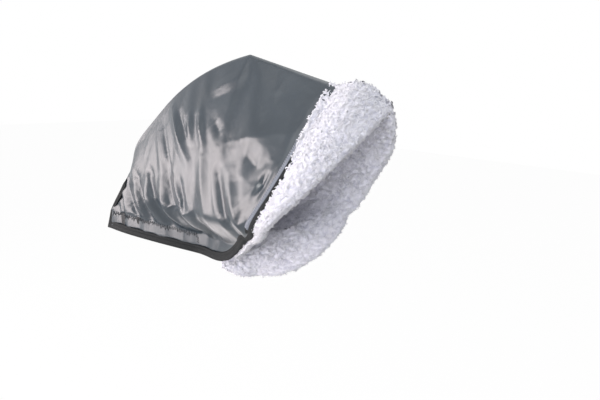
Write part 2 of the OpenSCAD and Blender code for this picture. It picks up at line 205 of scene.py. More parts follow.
def wall(q, t, level, seam=SEAM_SHARE):
    """Points (x, half width, z) of the cloth wall on a level, flat down to the seam's row.

    q runs 0 to 1 from the front edge to the binding's line, and past 1 it counts metres.
    t runs 0 to 1 from the crown to the fold line, to 2 at the tape's top and to 3 at the hem.
    """
    q, t, level = np.broadcast_arrays(*(np.asarray(a, float) for a in (q, t, level)))
    share = np.minimum(q, 1)
    past = np.maximum(q - 1, 0)
    upper = np.clip(t, 0, 1)
    bulge = np.clip(t - 1, 0, 1)
    strip = np.clip(t - 2, 0, 1)
    fold_x = mix(FOLD_FRONT_X, FOLD_REAR_X - BINDING_W, share) + past
    hem_x = mix(-HEM_FRONT, HEM_REAR - BINDING_W, share) + past
    top = crown(share, past)
    sway = share**BOW_POWER
    x = mix(top[..., 0], fold_x, upper) + (bow(upper) - upper*bow(1))*sway
    strip_x = hem_x + strip_lean(hem_x)*(1 - strip)
    x = mix(x, strip_x, bulge) + EDGE_BOW*np.sin(np.pi*bulge)*sway
    strip_top = hem_z(hem_x) + STRIP_H
    z = mix(mix(mix(top[..., 1], FOLD_H, upper), strip_top, bulge), hem_z(hem_x), strip)
    arch = np.sin(np.pi/2*np.clip((upper - seam)/(1 - seam), 0, 1)**WALL_ROUND)
    fold_half = FRONT_HALF + (np.where(bulge > 0, x, fold_x) - FOLD_FRONT_X)*WIDTH_SLOPE
    draw_top = FOLD_H + MOUTH_DRAW*sway
    late = 1 + DRAW_LATE*smooth(DRAW_LATE_FROM, DRAW_LATE_FULL, share)
    drawn = ease(np.clip((draw_top - z)/(draw_top - strip_top), 0, 1))**late
    half = mix(level - SHELL_IN + (fold_half - SHELL_T)*arch, hem_half(x, level), drawn)
    return np.stack([x, half, z], -1)


def unit(v):
    return v/np.maximum(np.linalg.norm(v, axis=-1, keepdims=True), 1e-12)


NORMAL_STEP_Q = 0.002
NORMAL_STEP_T = 0.004


def wall_normal(q, t, level, seam=SEAM_SHARE):
    """Outward normals of the wall, from small steps along it."""
    before, behind = np.maximum(q - NORMAL_STEP_Q, 0), q + NORMAL_STEP_Q
    above, below = np.maximum(t - NORMAL_STEP_T, 0), np.minimum(t + NORMAL_STEP_T, 3)
    across = wall(behind, t, level, seam) - wall(before, t, level, seam)
    down = wall(q, below, level, seam) - wall(q, above, level, seam)
    normal = unit(np.cross(across, down))
    return normal*np.where(normal[..., 1:2] < 0, -1, 1)


def placed(points, side):
    """Points with a half width become points of the left or the right side."""
    return points*np.array((1, SIDES[side], 1))


# Noise fields over points in space
HASH_WAY = np.array((127.1, 311.7, 74.7))
HASH_SALT = 17.13
HASH_GAIN = 43758.5453


def scatter(cells, salt):
    """Values from 0 to 1 that look random, one to each cell."""
    value = np.sin(cells @ HASH_WAY + salt*HASH_SALT)*HASH_GAIN
    return value - np.floor(value)


KNOT_SHARPNESS = 12
KNOT_REACH = 0.5


def knots(points, cell, salt):
    """Rounded bumps, one to each jittered cell: 1 on a bump's top, 0 in the hollows, round everywhere."""
    p = points/cell
    base = np.floor(p)
    weight = 0
    for offset in np.ndindex(3, 3, 3):
        corner = base + np.array(offset) - 1
        seed = np.stack([scatter(corner, salt + k) for k in range(3)], -1)
        weight = weight + np.exp(-KNOT_SHARPNESS*np.sum((corner + seed - p)**2, -1))
    return np.clip(1 + np.log(weight)/(KNOT_SHARPNESS*KNOT_REACH), 0, 1)


def drift(points, cell, salt):
    """Smooth noise from -1 to 1."""
    p = points/cell
    base = np.floor(p)
    part = p - base
    part = part*part*(3 - 2*part)
    total = 0
    for offset in np.ndindex(2, 2, 2):
        share = np.prod(np.where(np.array(offset) == 1, part, 1 - part), -1)
        total = total + share*scatter(base + np.array(offset), salt)
    return 2*total - 1


# Meshes
def new_piece(name, points, faces, smooth_angle=None):
    """Smooth-shaded mesh object, with sharp edges past an angle."""
    mesh = bpy.data.meshes.new(name)
    mesh.from_pydata(np.asarray(points).tolist(), [], faces)
    mesh.polygons.foreach_set("use_smooth", [True]*len(mesh.polygons))
    if smooth_angle:
        mesh.set_sharp_from_angle(angle=smooth_angle)
    mesh.update()
    piece = bpy.data.objects.new(name, mesh)
    bpy.context.scene.collection.objects.link(piece)
    return piece


def mesh_piece(name, points, faces, side=None, smooth_angle=None):
    """Mesh object of the points that the faces use; faces are turned for the left side."""
    points = np.asarray(points, float).reshape(-1, 3)
    faces = np.asarray(faces)
    if side == "left":
        faces = faces[:, ::-1]
    used = np.zeros(len(points), bool)
    used[faces] = True
    renumber = np.cumsum(used) - 1
    return new_piece(name, points[used], renumber[faces].tolist(), smooth_angle), used


def grid_faces(keep, turn=False):
    """Quads over the kept cells of a grid of points."""
    rows, cols = keep.shape
    r, c = np.nonzero(keep)
    a = r*(cols + 1) + c
    quads = np.stack([a, a + 1, a + cols + 2, a + cols + 1], -1)
    return quads[:, ::-1] if turn else quads


def closed_faces(keep):
    """Faces of a closed sheet between a front grid and a back grid, with walls round the kept cells."""
    rows, cols = keep.shape
    count = (rows + 1)*(cols + 1)
    front = grid_faces(keep)
    back = grid_faces(keep, turn=True) + count
    padded = np.pad(keep, 1)
    walls = []
    rims = (
        (0, -1, (0, 0), (1, 0)), (0, 1, (1, 1), (0, 1)),
        (-1, 0, (0, 1), (0, 0)), (1, 0, (1, 0), (1, 1)),
    )
    for dr, dc, first, second in rims:
        open_side = keep & ~padded[1 + dr:1 + dr + rows, 1 + dc:1 + dc + cols]
        r, c = np.nonzero(open_side)
        a = (r + first[0])*(cols + 1) + c + first[1]
        b = (r + second[0])*(cols + 1) + c + second[1]
        walls.append(np.stack([a, b, b + count, a + count], -1))
    return np.concatenate([front, back] + walls)


def ring_piece(name, points, turned=False, smooth_angle=None):
    """Mesh object of closed tubes from rings of points, shape (tubes, rings, sides, 3)."""
    index = np.arange(points[..., 0].size).reshape(points.shape[:3])
    after = np.roll(index, -1, axis=2)
    walls = np.stack([index[:, :-1], index[:, 1:], after[:, 1:], after[:, :-1]], -1).reshape(-1, 4)
    faces = walls.tolist() + index[:, 0].tolist() + index[:, -1, ::-1].tolist()
    if turned:
        faces = [face[::-1] for face in faces]
    return new_piece(name, points.reshape(-1, 3), faces, smooth_angle)


ALONG_Y = 0.9


def tubes_piece(name, paths, radii, sides=5):
    """Round tubes along paths of one length, shape (tubes, rings, 3)."""
    paths = np.asarray(paths, float)
    along = unit(np.gradient(paths, axis=1))
    guide = np.where(np.abs(along[..., 1:2]) < ALONG_Y, np.array((0, 1, 0)), np.array((1, 0, 0)))
    first = unit(np.cross(along, guide))
    second = np.cross(along, first)
    angle = 2*np.pi*np.arange(sides)/sides
    radii = np.broadcast_to(np.asarray(radii, float), paths.shape[:2])
    ring = first[:, :, None]*np.cos(angle)[:, None] + second[:, :, None]*np.sin(angle)[:, None]
    return ring_piece(name, paths[:, :, None] + ring*radii[..., None, None], turned=True)


def add_attribute(piece, name, values):
    attribute = piece.data.attributes.new(name, "FLOAT", "POINT")
    attribute.data.foreach_set("value", np.asarray(values, np.float32))


# Shader nodes
class Signal:
    """A node's output whose arithmetic adds Math nodes."""

    def __init__(self, nodes, socket):
        self.nodes = nodes
        self.socket = socket

    def math(self, operation, first, second):
        return self.nodes.node("ShaderNodeMath", {"operation": operation}, {0: first, 1: second})

    def __add__(self, other):
        return self.math("ADD", self, other)

    __radd__ = __add__

    def __mul__(self, other):
        return self.math("MULTIPLY", self, other)

    __rmul__ = __mul__

    def either(self, other):
        return self.math("MAXIMUM", self, other)


class Nodes:
    """A node tree under construction."""

    def __init__(self, tree):
        self.tree = tree

    def node(self, kind, settings, values, output=0):
        made = self.tree.nodes.new(kind)
        for key, value in settings.items():
            if key == "stops":
                self.set_stops(made.color_ramp, value)
            else:
                setattr(made, key, value)
        for key, value in values.items():
            self.feed(made.inputs[key], value)
        return Signal(self, made.outputs[output])

    def set_stops(self, ramp, stops):
        while len(ramp.elements) < len(stops):
            ramp.elements.new(1)
        for element, (place, colour) in zip(ramp.elements, stops):
            element.position = place
            element.color = (*colour, 1)

    def feed(self, socket, value):
        if isinstance(value, Signal):
            self.tree.links.new(value.socket, socket)
        else:
            socket.default_value = value

    def seen_directly(self):
        """1 for camera, glossy and transmission rays."""
        camera, glossy, through = (self.node("ShaderNodeLightPath", {}, {}, f"Is {ray} Ray")
            for ray in ("Camera", "Glossy", "Transmission"))
        return camera.either(glossy).either(through)


class Finish(Nodes):
    """A material under construction."""

    def __init__(self, name):
        self.material = bpy.data.materials.new(name)
        self.material.use_nodes = True
        super().__init__(self.material.node_tree)
        self.shader = self.tree.nodes["Principled BSDF"]

    def set(self, **values):
        for key, value in values.items():
            self.feed(self.shader.inputs[key.replace("_", " ")], value)

    def noise(self, scale, detail=3):
        values = {"Vector": self.place(), "Scale": scale, "Detail": detail}
        return self.node("ShaderNodeTexNoise", {}, values)

    def wave(self, direction, scale):
        settings = {"wave_type": "BANDS", "bands_direction": direction}
        return self.node("ShaderNodeTexWave", settings, {"Vector": self.place(), "Scale": scale})

    def place(self):
        return self.node("ShaderNodeTexCoord", {}, {}, "Object")

    def attribute(self, name):
        return self.node("ShaderNodeAttribute", {"attribute_name": name}, {}, "Fac")

    def ramp(self, value, *stops):
        return self.node("ShaderNodeValToRGB", {"stops": stops}, {"Fac": value})

    def bump(self, height, strength, distance):
        values = {"Height": height, "Strength": strength, "Distance": distance}
        self.set(Normal=self.node("ShaderNodeBump", {}, values))


def linear(red, green, blue):
    """Linear colour from 8-bit screen values."""
    def channel(value):
        c = value/255
        return c/12.92 if c <= 0.04045 else ((c + 0.055)/1.055)**2.4
    return (channel(red), channel(green), channel(blue))


def nylon_finish():
    finish = Finish("coated_nylon")
    cloud = finish.noise(18)
    finish.set(Base_Color=finish.ramp(cloud, (0.3, linear(32, 42, 51)), (0.7, linear(42, 52, 61))),
        Roughness=0.25 + 0.08*cloud, Specular_IOR_Level=0.76)
    finish.bump(finish.noise(1300, 2), 0.25, 0.3*MM)
    return finish.material


def fleece_finish():
    finish = Finish("sherpa_fleece")
    fuzz = finish.noise(900, 4)
    # Base colour follows the pile's height. It is darker in the hollows between knots and on the sheet's
    # back, as painted shade. The fuzz noise varies the tone at random.
    finish.set(Base_Color=finish.ramp(finish.attribute("pile") + 0.25*fuzz, (0.1, linear(170, 172, 187)),
        (0.6, linear(203, 204, 216)), (1, linear(215, 216, 226))))
    finish.set(Roughness=0.85 + 0.1*fuzz, Specular_IOR_Level=0.2, Sheen_Weight=0.25)
    finish.set(Subsurface_Weight=0.5, Subsurface_Radius=(1, 1, 1), Subsurface_Scale=3*MM)
    finish.bump(fuzz, 0.35, 0.3*MM)
    return finish.material


def binding_finish():
    finish = Finish("ribbed_binding")
    lint = finish.noise(500)
    # Base colour from the tone: the dark tape and its pale sewn half, each with painted shade in the
    # grooves between ribs.
    finish.set(Base_Color=finish.ramp(finish.attribute("tone") + 0.1*lint,
        (0, linear(9, 12, 14)), (0.35, linear(20, 24, 27)),
        (0.65, linear(78, 83, 92)), (1, linear(136, 141, 152))))
    finish.set(Roughness=0.6 + 0.2*lint, Specular_IOR_Level=0.25)
    finish.bump(lint, 0.3, 0.3*MM)
    return finish.material


def thread_finish(name, dark, light):
    finish = Finish(name)
    lint = finish.noise(1500)
    finish.set(Base_Color=finish.ramp(lint, (0.3, dark), (0.7, light)))
    finish.set(Roughness=0.5 + 0.2*lint)
    finish.bump(lint, 0.3, 0.2*MM)
    return finish.material


def tape_finish(name, dark, light):
    finish = Finish(name)
    weave = finish.wave("X", 260)*finish.wave("Z", 260)
    finish.set(Base_Color=finish.ramp(weave, (0.2, dark), (0.9, light)))
    finish.set(Roughness=0.6 + 0.2*finish.noise(300))
    finish.bump(weave, 0.4, 0.3*MM)
    return finish.material


NYLON = nylon_finish()
FLEECE = fleece_finish()
BINDING = binding_finish()
EDGE_THREAD = thread_finish("edge_thread", linear(118, 123, 134), linear(150, 154, 165))
TAPE_THREAD = thread_finish("tape_thread", linear(30, 34, 39), linear(50, 55, 61))
HOOK_TAPE = tape_finish("hook_tape_nylon", linear(22, 24, 27), linear(44, 47, 51))
LOOP_TAPE = tape_finish("loop_tape_nylon", linear(30, 33, 37), linear(58, 62, 67))


def across_fold(piece, material):
    """A soft piece that spans the pouch and a flap, given its material, with its place baked into its
    points.
    """
    piece.data.materials.append(material)
    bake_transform(piece)


# Shell: folds are (start, end, half width, height) in millimetres of x and z, ridges up and valleys down
LEFT_FOLDS = (
    ((38, 134), (74, 86), 9, -3.4), ((46, 155), (98, 104), 6, 2.6), ((64, 150), (84, 130), 5, -1.8),
    ((84, 152), (96, 126), 4, 1.6), ((100, 155), (118, 124), 5, 2.2), ((128, 150), (142, 136), 7, -2.2),
    ((104, 176), (150, 196), 6, 1.1), ((106, 168), (160, 186), 7, -1.0), ((150, 131), (228, 146), 24, 4.2),
    ((182, 122), (202, 114), 11, -3.4), ((208, 102), (215, 99), 14, -4.4), ((63, 90), (98, 26), 6, -3.4),
    ((76, 92), (112, 26), 6, 2.4), ((94, 78), (102, 48), 6, -2.2), ((150, 102), (184, 34), 6, -3.4),
    ((166, 104), (196, 44), 7, 2.2), ((4, 72), (22, 26), 8, -3.2), ((30, 80), (52, 24), 7, -3),
    ((120, 112), (140, 60), 8, 2.0),
)
RIGHT_SHIFT = (-9, 6)
FOLD_REACH = 1.6
FOLD_SHARPNESS = 1.2
FOLD_END = 0.35
FOLD_TIP = 0.05
PLEAT_STEP = 17*MM
PLEAT_W = 7*MM
PLEAT_H = 3.2*MM
PLEAT_LOW = 8*MM
PLEAT_TOPS = (45, 78)
# Ranges of a pleat's lean to its top, and of its height, width and spacing to their usual sizes
PLEAT_LEANS = (0.1, 0.5)
PLEAT_HEIGHTS = (0.5, 1.6)
PLEAT_WIDTHS = (0.8, 1.5)
PLEAT_SPACING = (0.6, 1.3)
PLEAT_SEEDS = {"left": 11, "right": 23}


def side_folds(side):
    """Folds of a side as segments in metres."""
    shift = (0, 0) if side == "left" else RIGHT_SHIFT
    folds = []
    for start, end, width, height in LEFT_FOLDS:
        ends = [np.array(p) + shift for p in (start, end)]
        folds.append((ends[0]*MM, ends[1]*MM, width*MM, height*MM))
    return folds


def side_pleats(side):
    """The row of pleats that rise from the tape and lean to the front, as segments in metres."""
    draw = np.random.default_rng(PLEAT_SEEDS[side])
    pleats = []
    x = -HEM_FRONT + PLEAT_STEP
    while x < HEM_REAR - PLEAT_STEP:
        top = draw.uniform(*PLEAT_TOPS)*MM
        lean = draw.uniform(*PLEAT_LEANS)*top
        height = PLEAT_H*draw.uniform(*PLEAT_HEIGHTS)*draw.choice((-1, 1))
        width = PLEAT_W*draw.uniform(*PLEAT_WIDTHS)
        pleats.append((np.array((x, PLEAT_LOW)), np.array((x - lean, top)), width, height))
        x += PLEAT_STEP*draw.uniform(*PLEAT_SPACING)
    return pleats


def fold_height(x, z, folds):
    """Height of the folds over the smooth wall, lower at their ends."""
    total = np.zeros_like(x)
    p = np.stack([x, z], -1)
    for start, end, width, height in folds:
        run = end - start
        t = np.clip(((p - start) @ run)/(run @ run), 0, 1)
        gap = np.linalg.norm(p - start - t[..., None]*run, axis=-1)
        taper = mix(FOLD_END, 1, np.sin(np.pi*np.clip(t, FOLD_TIP, 1 - FOLD_TIP)))
        total += height*taper*np.maximum(1 - gap/(FOLD_REACH*width), 0)**FOLD_SHARPNESS
    return total


CRINKLE_COARSE = 19*MM
CRINKLE_FINE = 8*MM
CRINKLE_PATCH = 50*MM
CRINKLE_BEND = 6*MM
CRINKLE_BEND_CELL = 30*MM
CRINKLE_STRETCH = np.array((1, 1, 0.55))
# Heights of the creases in millimetres, and how much they differ from patch to patch
COARSE_H = 1.3
FINE_H = 0.4
CRINKLE_MIDDLE = 0.7
PATCH_MIDDLE = 0.55
PATCH_SWING = 0.45


def crinkle(points, salt):
    """Crisp small creases of coated cloth."""
    bends = [drift(points, CRINKLE_BEND_CELL, salt + k) for k in range(3)]
    bent = points + CRINKLE_BEND*np.stack(bends, -1)
    coarse = 1 - np.abs(drift(bent*CRINKLE_STRETCH, CRINKLE_COARSE, salt + 5))
    fine = 1 - np.abs(drift(bent, CRINKLE_FINE, salt + 9))
    patch = PATCH_MIDDLE + PATCH_SWING*drift(points, CRINKLE_PATCH, salt + 13)
    return (COARSE_H*coarse**2 + FINE_H*fine**2 - CRINKLE_MIDDLE)*patch*MM


FOLDS = {side: side_folds(side) for side in SIDES}
PLEATS = {side: side_pleats(side) for side in SIDES}
KEPT_FOLD = 0.45
KEPT_CRINKLE = 0.4
DRAPE_Q = np.concatenate([np.linspace(0, 1, 90), [MOUTH_Q]])
DRAPE_T = np.concatenate([np.linspace(0, 1, 52), np.linspace(1, 2, 18)[1:]])
DRAPE_FRAMES = 20
DRAPE_REACH = 6*MM
DRAPE_GRAVITY = 0.1
CLOTH_GROWTH = 0.013
CLOTH_ROOM = 1*MM
PADDING_IN = 1.5*MM
CLOTH = {
    "quality": 6, "mass": 0.15, "tension_stiffness": 20, "compression_stiffness": 20,
    "shear_stiffness": 10, "bending_stiffness": 45, "air_damping": 3,
}


# Slack grows from the first value of each range to the second
SLACK_LOW = (165*MM, 90*MM)
SLACK_TILT = 0.15
SLACK_HEM = (80*MM, 50*MM)
HEM_SLACK = 0.7
SLACK_FRONT = (-45*MM, 10*MM)
SLACK_REAR = (230*MM, 190*MM)


def slack_share(points):
    """Where the panel is cut too wide: over the lower half, and hardly near the ridge and the front."""
    x, z = points[..., 0], points[..., 2]
    low = smooth(*SLACK_LOW, z + SLACK_TILT*x) + HEM_SLACK*smooth(*SLACK_HEM, z)
    return low*smooth(*SLACK_FRONT, x)*smooth(*SLACK_REAR, x)


def cut_panel(points):
    """The panel as it was cut: wider from front to back than its wall, where it has slack."""
    cut = points.copy()
    share = slack_share(points)
    extra = CLOTH_GROWTH*np.diff(points[..., 0], axis=1)*(share[:, 1:] + share[:, :-1])/2
    extra = np.cumsum(np.pad(extra, ((0, 0), (1, 0))), axis=1)
    cut[..., 0] += extra - extra.mean(axis=1, keepdims=True)
    return cut


def drape(side):
    """Moves of the shell from its smooth wall when cloth cut a little too wide hangs on its seams."""
    q, t = np.broadcast_arrays(DRAPE_Q[None, :], DRAPE_T[:, None])
    smooth_wall = wall(q, t, SHELL_OUT, 0)
    height = fold_height(smooth_wall[..., 0], smooth_wall[..., 2], PLEATS[side] + FOLDS[side])
    start = smooth_wall + wall_normal(q, t, SHELL_OUT, 0)*(height*edge_fade(q, t))[..., None]
    cells = np.ones((len(DRAPE_T) - 1, len(DRAPE_Q) - 1), bool)
    cloth, _ = mesh_piece(f"{side}_drape", placed(start, side), grid_faces(cells), side)
    padded_wall = placed(wall(q, t, SHELL_IN - PADDING_IN), side)
    padding, _ = mesh_piece(f"{side}_padding", padded_wall, grid_faces(cells), side)
    padding.modifiers.new("firm", "COLLISION")
    padding.collision.thickness_outer = CLOTH_ROOM
    sewn = np.zeros(q.shape)
    sewn[0] = sewn[-1] = 1
    sewn[:, 0] = sewn[:, -1] = 1
    group = cloth.vertex_groups.new(name="sewn")
    group.add(np.nonzero(sewn.ravel())[0].tolist(), 1, "ADD")
    hang = cloth.modifiers.new("hang", "CLOTH")
    for key, value in CLOTH.items():
        setattr(hang.settings, key, value)
    hang.settings.vertex_group_mass = "sewn"
    cloth.shape_key_add(name="hung")
    cut = cloth.shape_key_add(name="cut")
    cut.data.foreach_set("co", placed(cut_panel(smooth_wall), side).ravel())
    hang.settings.rest_shape_key = cut
    hang.settings.effector_weights.gravity = DRAPE_GRAVITY
    hang.collision_settings.distance_min = CLOTH_ROOM
    hang.point_cache.frame_end = DRAPE_FRAMES
    scene = bpy.context.scene
    for step in range(1, DRAPE_FRAMES + 1):
        scene.frame_set(step)
    hung = cloth.evaluated_get(bpy.context.evaluated_depsgraph_get()).to_mesh()
    points = np.array([v.co for v in hung.vertices]).reshape(start.shape)
    scene.frame_set(1)
    for piece in (cloth, padding):
        bpy.data.objects.remove(piece, do_unlink=True)
    moves = placed(points, side) - smooth_wall
    length = np.linalg.norm(moves, axis=-1, keepdims=True)
    return moves*np.minimum(1, DRAPE_REACH/np.maximum(length, 1e-9))


CROWN_ROUND = 0.012
CROWN_LEAST = 0.002
TUCK = 0.5*MM
TUCK_RUN = 0.1
PUCKER_STEP = 3.1*MM
PUCKER_H = 0.45*MM
PUCKER_CELL = 12*MM
PUCKER_SPREAD = 0.22
PUCKER_SHIFT = 1.5
PUCKER_FRONT_RUN = 5*MM
PUCKER_REAR_RUN = 4*MM
CRINKLE_SALTS = {"left": 3, "right": 41}
PUCKER_SALTS = {"left": 17, "right": 53}


def tucked(q, t):
    """Depth by which the shell's edge is pressed in under the binding."""
    hem = smooth(BAND_T, BAND_T + TUCK_RUN, t)
    mouth = smooth(1, MOUTH_Q, q + BINDING_W/2)
    front = smooth(BAND_Q, BAND_Q/2, q)*smooth(1 - TUCK_RUN, 1, t)
    return TUCK*np.maximum(hem, np.maximum(mouth, front))


def puckers(q, t, points, salt):
    """Short ripples across the tape's top seam."""
    x = points[..., 0]
    shift = PUCKER_SHIFT*drift(points, PUCKER_CELL, salt)
    over_tape = smooth(TAPE_FRONT, TAPE_FRONT + PUCKER_FRONT_RUN, x)
    over_tape = over_tape*smooth(TAPE_REAR + PUCKER_REAR_RUN, TAPE_REAR - PUCKER_REAR_RUN, x)
    near_seam = np.exp(-((t - PUCKER_ROW)/PUCKER_SPREAD)**2)
    return PUCKER_H*np.sin(2*np.pi*x/PUCKER_STEP + 3*shift)*over_tape*near_seam*(0.6 + 0.4*shift)


CROWN_FADE = 0.14
FRONT_FADE = 0.03
MOUTH_FADE = 0.02
HEM_FADE = 0.2
STRIP_FOLD = 0.35
STRIP_FADE_FROM = 1.8
STRIP_FADE_FULL = 2.1


def edge_fade(q, t):
    """Folds die out at the seams and nearly so on the taped strip."""
    fade = smooth(0, CROWN_FADE, t)*smooth(0, FRONT_FADE, q)*smooth(MOUTH_Q, MOUTH_Q - MOUTH_FADE, q)
    return fade*mix(1, STRIP_FOLD, smooth(STRIP_FADE_FROM, STRIP_FADE_FULL, t))*smooth(3, 3 - HEM_FADE, t)


def cubic_weights(t):
    """Catmull-Rom weights of the four points round a place."""
    square, cube = t**2, t**3
    return (0.5*(-t + 2*square - cube), 0.5*(2 - 5*square + 3*cube),
        0.5*(t + 4*square - 3*cube), 0.5*(cube - square))


def on_grid(values, q, t):
    """Smooth values of the drape's grid at q and t."""
    col = np.interp(q, DRAPE_Q, np.arange(len(DRAPE_Q)))
    row = np.interp(t, DRAPE_T, np.arange(len(DRAPE_T)))
    c = np.floor(col).astype(int)
    r = np.floor(row).astype(int)
    total = 0
    for dr, row_weight in zip((-1, 0, 1, 2), cubic_weights(row - r)):
        for dc, col_weight in zip((-1, 0, 1, 2), cubic_weights(col - c)):
            rows = np.clip(r + dr, 0, len(DRAPE_T) - 1)
            cols = np.clip(c + dc, 0, len(DRAPE_Q) - 1)
            total = total + values[rows, cols]*(row_weight*col_weight)[..., None]
    return total


DRAPES = {side: drape(side) for side in SIDES}


def shell_point(q, t, side, level=SHELL_OUT):
    """Points of the draped shell."""
    base = wall(q, t, level, 0)
    crown_round = np.sqrt(np.clip(1 - (1 - np.minimum(t/CROWN_ROUND, 1))**2, CROWN_LEAST, 1))
    base[..., 1] *= crown_round
    height = KEPT_CRINKLE*crinkle(base, CRINKLE_SALTS[side])
    kept = 1 if DRAPES[side] is None else KEPT_FOLD
    height = height + kept*fold_height(base[..., 0], base[..., 2], FOLDS[side] + PLEATS[side])
    if DRAPES[side] is not None:
        base = base + on_grid(DRAPES[side], q, t)
    height = height*edge_fade(q, t) + puckers(q, t, base, PUCKER_SALTS[side]) - tucked(q, t)
    return base + wall_normal(q, t, level, 0)*height[..., None]


def shell_panel(side):
    q = np.concatenate([np.linspace(0, 1, 190), 1 + np.linspace(0, BINDING_W, 7)[1:]])[None, :]
    t = np.concatenate([np.linspace(0, 1, 100), np.linspace(1, 2, 36)[1:], np.linspace(2, 3, 16)[1:]])
    q, t = np.broadcast_arrays(q, t[:, None])
    front = shell_point(q, t, side)
    back = front - wall_normal(q, t, SHELL_OUT, 0)*NYLON_T
    back[..., 1] = np.maximum(back[..., 1], HALF_GAP/2)
    points = np.concatenate([placed(front, side).reshape(-1, 3), placed(back, side).reshape(-1, 3)])
    keep = np.ones((q.shape[0] - 1, q.shape[1] - 1), bool)
    panel, _ = mesh_piece(f"{side}_shell_panel", points, closed_faces(keep), side, math.radians(60))
    across_fold(panel, NYLON)
    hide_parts(f"{side}_shell", f"{side}_flap_shell")
    return panel


# Fleece: the lining, turned back over the mouth's rim as the cuff
PILE_H = 3*MM
KNOT_CELL = 4.4*MM
SMALL_KNOT = 0.45
SWELL_KNOTS = 3
LARGE_PILE = 0.5
SMALL_PILE = 0.2
SWELL_PILE = 0.3
FLEECE_LEAST_T = 0.5*MM
CAP_SHARE = 0.1
LINING_TOP = 0.06
BINDING_COVER = 10*MM
COVER_LIFT = 2.6*MM
COVER_LEAST = 0.3
COVER_FULL = 0.34
COVER_LESS = 0.58
COVER_END = 1.25
COVER_RUN = 0.2
CAP_RUN = 0.94
CAP_LEAST = 0.0004
DIP_FROM = 0.3
DIP_RUN = 0.75
SINK_FROM = 0.7
SINK_FULL = 1.2
BACK_SHARE = 0.4
BACK_FACE = 0.12
BACK_RUN = 0.97
ROOM_FADE = 8*MM
HEM_LEGS = (0, 1, 2, 3)
HEM_STOPS = (LIP_Q, 1, mix(TAPE_Q, 1, 3/4), mix(TAPE_Q, 1, 1/2))


def lining_level(q):
    return SHELL_IN - mix(FRONT_LINING_T, LINING_T, np.minimum(q/FULL_LINING, 1))


def lining_face(q, t):
    """The lining's inner face, clear of the clamp's bore and of the closing plane."""
    p = wall(q, t, lining_level(q))
    reach = CLAMP_R + CLAMP_ROOM
    room = np.sqrt(np.maximum(reach**2 - p[..., 0]**2, 0))
    room = room*smooth(SLIT_TOP[1], SLIT_TOP[1] - ROOM_FADE, p[..., 2])
    p[..., 1] = np.maximum(p[..., 1], np.maximum(room, HALF_GAP))
    return p


def binding_cover(v):
    """Share by which the pile covers the binding: fully near the ridge, its edge lower down."""
    return mix(COVER_LEAST, 1, smooth(COVER_LESS, COVER_FULL, v))*smooth(COVER_END, 1, v)


def cuff_face(v, u, face, side, roll=0):
    """Points of the cuff: v as t down the mouth edge and past 3 along the hem, u from the edge to the rim.

    face runs from -1 on the inner side to 1 on the outer side, and roll goes on past the rim.
    """
    v, u, face, roll = np.broadcast_arrays(*(np.asarray(a, float) for a in (v, u, face, roll)))
    upper = np.clip(v, 0, 1)
    bulge = np.clip(v - 1, 0, 1)
    strip = np.clip(v - 2, 0, 1)
    along = np.clip(v - 3, 0, 3)
    q = np.interp(along, HEM_LEGS, HEM_STOPS)
    outer = wall(q, np.minimum(v, 3), SHELL_OUT)
    inner = wall(q, np.minimum(v, 3), lining_level(1.0))[..., 1]
    angle = -CUFF_DROOP*mix(bulge, strip, CORNER_FAN)
    heading = np.stack([np.cos(angle), np.sin(angle)], -1)
    heading = np.where((v < 1)[..., None], mix(RIDGE_DIR, np.array((1, 0)), upper[..., None]), heading)
    width = mix(CUFF_TOP_W, CUFF_LOW_W[side], upper)*mix(1, LOBE_WIDEN[side], bulge)
    width = width*np.interp(along, HEM_LEGS, HEM_WIDTHS)
    width = width - CUFF_DIP[side]*np.sin(np.pi*np.clip((v - DIP_FROM)/DIP_RUN, 0, 1))**2
    swell = CUFF_PUFF*np.sin(np.pi*np.clip(u, 0, 1))*(1 - upper)
    cap = np.sqrt(np.clip(1 - (1 - np.minimum(v/CAP_SHARE, 1))**2, CAP_LEAST, 1))
    run = (u*width + roll*np.minimum(RIM_ROLL, width/2))*mix(CAP_RUN, 1, cap)
    x = outer[..., 0] + run*heading[..., 0]
    z = outer[..., 2] + run*heading[..., 1] + swell*(1 - upper)
    sink = CUFF_SINK*smooth(SINK_FROM, SINK_FULL, v)
    out = outer[..., 1] + swell - sink + COVER_LIFT*binding_cover(v)*smooth(COVER_RUN, 0, u)
    thin = np.clip((u - RIM_START)/(1 - RIM_START), 0, 1)
    rim = mix(RIM_THIN, 1, np.sqrt(1 - thin**2))
    half = (out + inner)/2 + face*(out - inner)/2*rim + run*upper*WIDTH_SLOPE
    return np.stack([x, np.maximum(half, HALF_GAP)*cap, z], -1)


